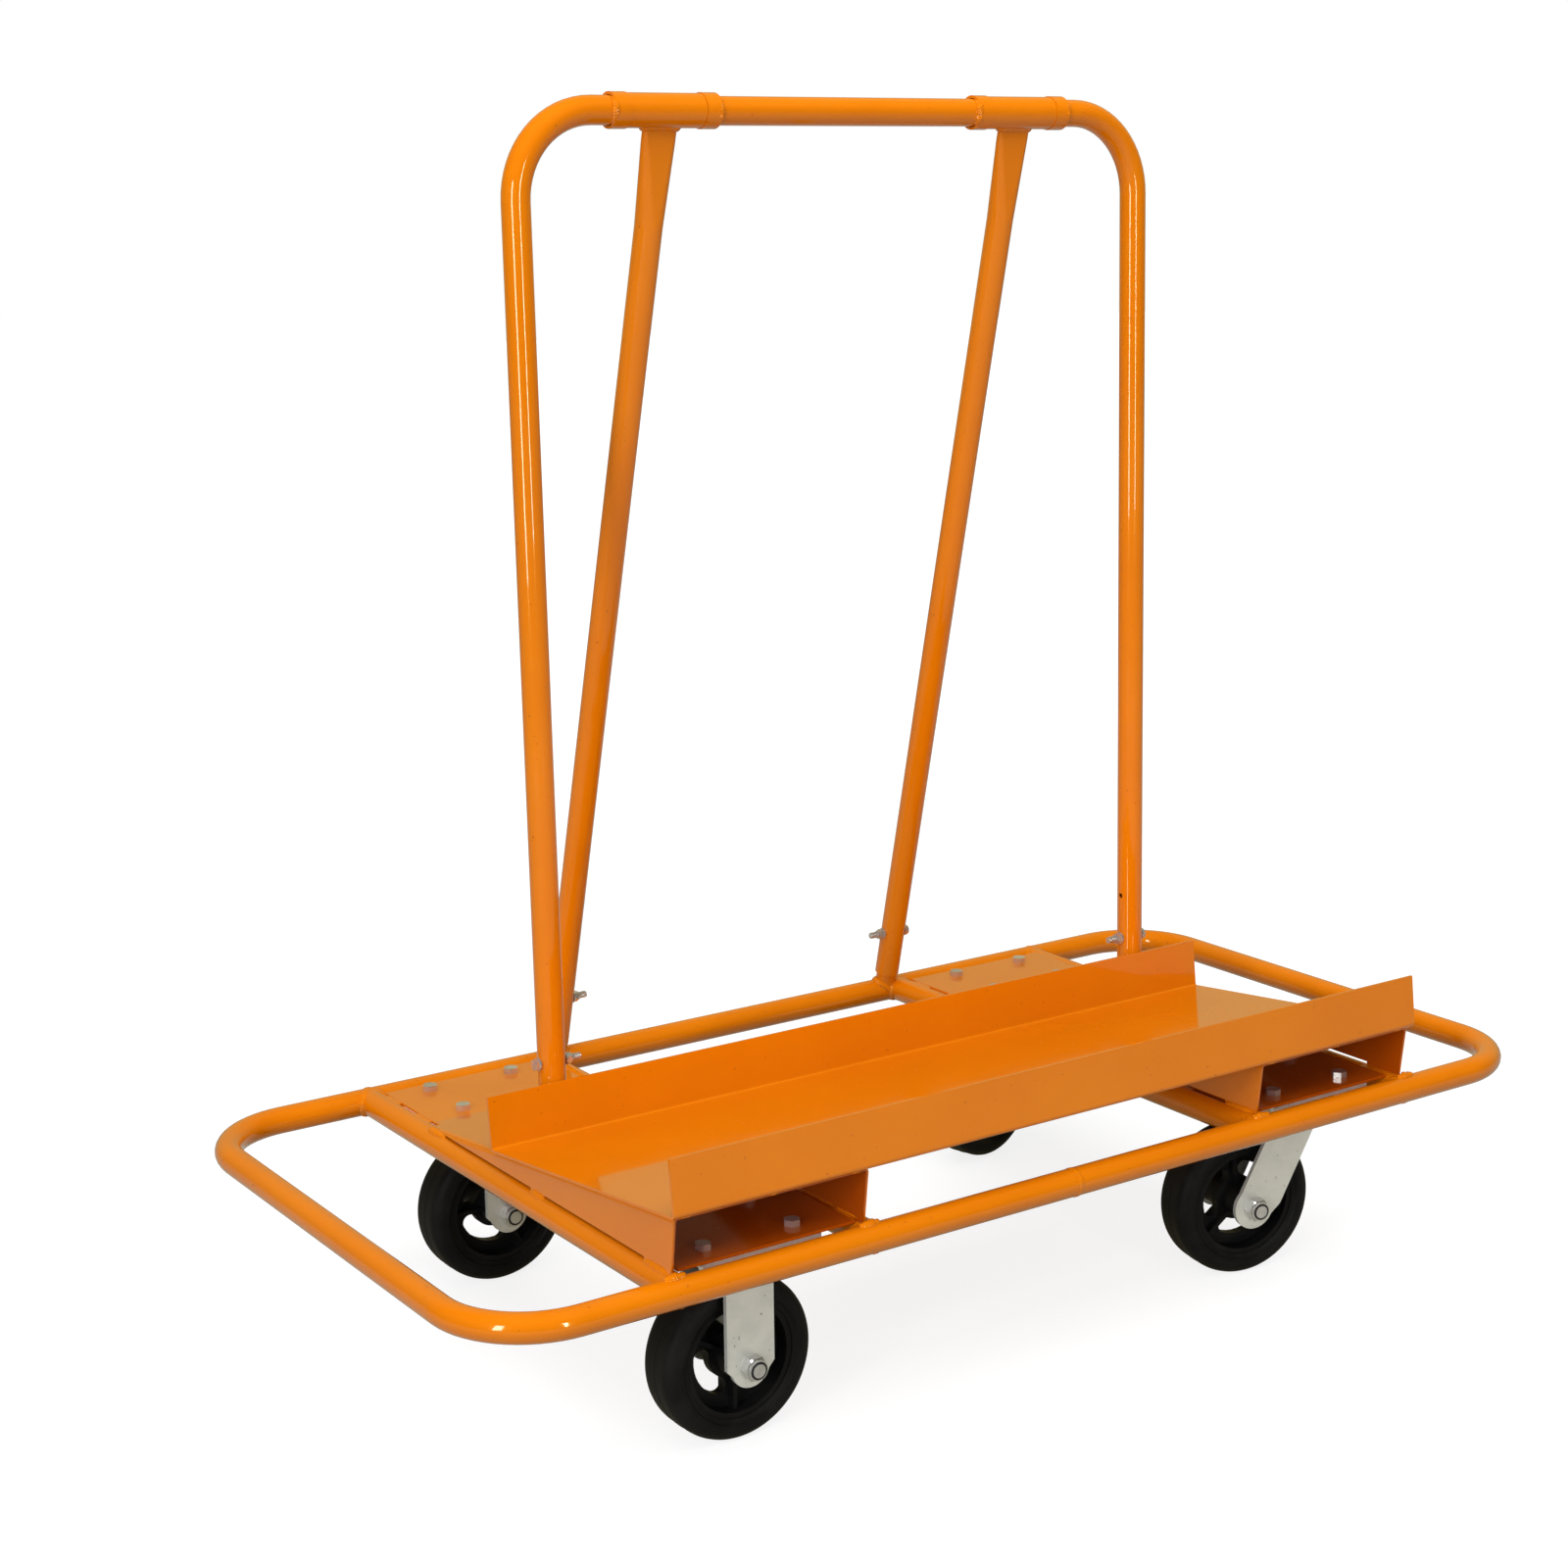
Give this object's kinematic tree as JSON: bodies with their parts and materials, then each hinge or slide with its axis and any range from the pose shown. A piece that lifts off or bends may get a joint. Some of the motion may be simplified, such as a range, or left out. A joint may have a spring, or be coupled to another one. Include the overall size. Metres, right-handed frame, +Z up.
{
  "type": "drywall cart",
  "caption": "Tube-framed drywall cart on casters, with a sloping folded tray and a braced upright hoop that hold boards on edge.",
  "frame": {"origin": "middle of the base loop in plan, on the floor", "axes": "+X along the cart to its swivel casters, +Y to its back, where the braces stand, +Z up"},
  "size_m": [1.19, 0.59, 1.113],
  "materials": {
    "orange_paint": "glossy enamel",
    "zinc": "zinc plated",
    "tyre_rubber": "satin",
    "wheel_black": "satin",
    "bush_bronze": "satin"
  },
  "bodies": {
    "cart": {"base_loop": "orange_paint", "outer_left_tube": "orange_paint", "inner_left_tube": "orange_paint", "inner_right_tube": "orange_paint", "outer_right_tube": "orange_paint", "left_support": "orange_paint", "right_support": "orange_paint", "left_front_seat": "orange_paint", "right_front_seat": "orange_paint", "load_tray": "orange_paint", "left_hoop_stub": "orange_paint", "right_hoop_stub": "orange_paint", "left_brace_stub": "orange_paint", "right_brace_stub": "orange_paint", "hoop": "orange_paint", "left_brace": "orange_paint", "right_brace": "orange_paint", "left_sleeve": "orange_paint", "right_sleeve": "orange_paint", "stop_collars": "orange_paint", "frame_bolts": "zinc", "frame_washers": "zinc", "frame_nuts": "zinc", "caster_bolts": "zinc", "caster_nuts": "zinc", "front_left_fork": "zinc", "rear_left_fork": "zinc", "rigid_axles": "zinc", "rigid_axle_nuts": "zinc", "rigid_axle_sleeves": "zinc", "front_swivel_plate": "zinc", "rear_swivel_plate": "zinc", "front_kingpin": "zinc", "rear_kingpin": "zinc"},
    "front_right_caster": {"front_right_fork": "zinc", "front_balls": "zinc", "front_right_axle": "zinc", "front_right_axle_nut": "zinc", "front_right_axle_sleeve": "zinc"},
    "rear_right_caster": {"rear_right_fork": "zinc", "rear_balls": "zinc", "rear_right_axle": "zinc", "rear_right_axle_nut": "zinc", "rear_right_axle_sleeve": "zinc"},
    "front_left_wheel": {"front_left_tyre": "tyre_rubber", "front_left_core": "wheel_black", "front_left_bush": "bush_bronze"},
    "front_right_wheel": {"front_right_tyre": "tyre_rubber", "front_right_core": "wheel_black", "front_right_bush": "bush_bronze"},
    "rear_left_wheel": {"rear_left_tyre": "tyre_rubber", "rear_left_core": "wheel_black", "rear_left_bush": "bush_bronze"},
    "rear_right_wheel": {"rear_right_tyre": "tyre_rubber", "rear_right_core": "wheel_black", "rear_right_bush": "bush_bronze"}
  },
  "joints": [
    {"name": "front_left_spin", "type": "hinge", "parent": "cart", "child": "front_left_wheel", "pos_m": [-0.3205, -0.2093, 0.073], "axis": [0, 1, 0], "continuous": true},
    {"name": "rear_left_spin", "type": "hinge", "parent": "cart", "child": "rear_left_wheel", "pos_m": [-0.3205, 0.2093, 0.073], "axis": [0, 1, 0], "continuous": true},
    {"name": "front_right_swivel", "type": "hinge", "parent": "cart", "child": "front_right_caster", "pos_m": [0.3205, -0.2093, 0.1705], "axis": [0, 0, 1], "continuous": true},
    {"name": "front_right_spin", "type": "hinge", "parent": "front_right_caster", "child": "front_right_wheel", "pos_m": [0.27142, -0.19976, 0.073], "axis": [0.1908, 0.9816, 0], "continuous": true},
    {"name": "rear_right_swivel", "type": "hinge", "parent": "cart", "child": "rear_right_caster", "pos_m": [0.3205, 0.2093, 0.1705], "axis": [0, 0, 1], "continuous": true},
    {"name": "rear_right_spin", "type": "hinge", "parent": "rear_right_caster", "child": "rear_right_wheel", "pos_m": [0.2722, 0.19636, 0.073], "axis": [-0.2588, 0.9659, 0], "continuous": true}
  ]
}
